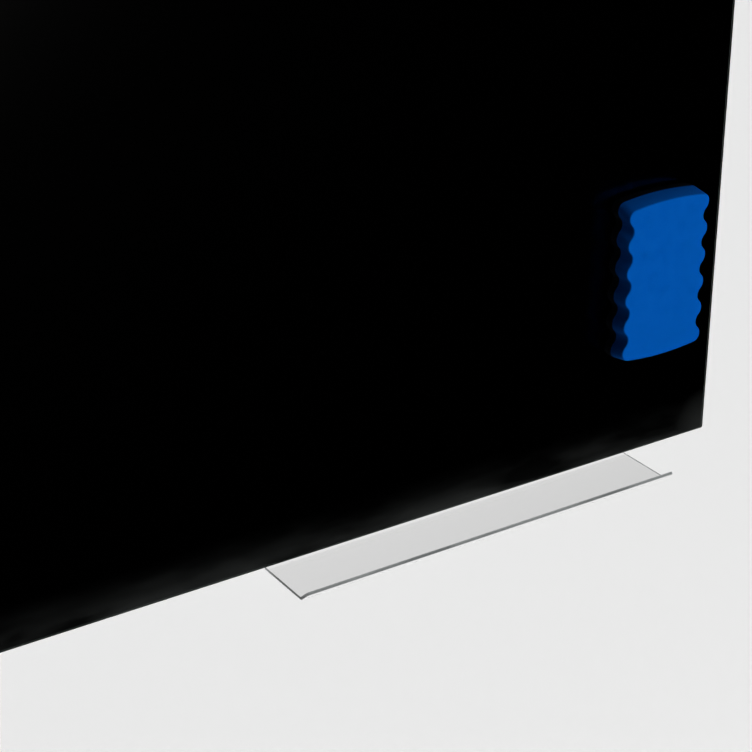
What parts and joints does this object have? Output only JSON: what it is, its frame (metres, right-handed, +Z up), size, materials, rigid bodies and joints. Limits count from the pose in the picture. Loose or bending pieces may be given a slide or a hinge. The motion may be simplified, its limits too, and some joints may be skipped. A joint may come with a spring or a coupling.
{
  "type": "magnetic glass whiteboard",
  "caption": "Frameless black glass magnetic board on hook-over wall rails, with a clear folded pen tray and a notched magnetic foam eraser.",
  "frame": {"origin": "centre of the four fixing slots, on the wall plane behind the board", "axes": "+X along the board to the viewer's right, +Y into the wall, +Z up; the board faces -Y"},
  "size_m": [0.9, 0.065, 0.6042],
  "materials": {
    "rail_aluminium": "mill-finish extruded aluminium",
    "foam_tape": "white closed-cell foam tape",
    "galvanised_steel": "galvanised steel sheet",
    "bonding_film": "double-sided bonding film",
    "black_enamel": "black enamel fired on the back of the glass",
    "clear_glass": "polished toughened glass over black enamel",
    "black_rubber": "moulded black rubber",
    "clear_acrylic": "clear cast acrylic, line bent",
    "nickel": "nickel-plated neodymium magnet",
    "blue_foam": "blue closed-cell EVA foam",
    "dark_felt": "dark needled felt"
  },
  "bodies": {
    "wall_rails": {"wall_rail_top": "rail_aluminium", "wall_rail_bottom": "rail_aluminium"},
    "board": {"board_rail_top": "rail_aluminium", "board_rail_bottom": "rail_aluminium", "rail_tape_top": "foam_tape", "rail_tape_bottom": "foam_tape", "steel_sheet": "galvanised_steel", "bonding_film": "bonding_film", "enamel_coat": "black_enamel", "glass_panel": "clear_glass", "wall_buffers": "black_rubber"},
    "tray": {"pen_tray": "clear_acrylic", "tray_magnets": "nickel"},
    "eraser": {"eraser_foam": "blue_foam", "eraser_felt": "dark_felt", "eraser_magnets": "nickel"}
  },
  "joints": [
    {"name": "board_lift", "type": "slide", "parent": "wall_rails", "child": "board", "axis": [0, 0, 1], "range_m": [0, 0.012]},
    {"name": "tray_slide", "type": "slide", "parent": "board", "child": "tray", "axis": [1, 0, 0], "range_m": [-0.516, 0.06]},
    {"name": "eraser_wipe", "type": "slide", "parent": "board", "child": "eraser", "axis": [1, 0, 0], "range_m": [-0.795, 0.025]}
  ]
}
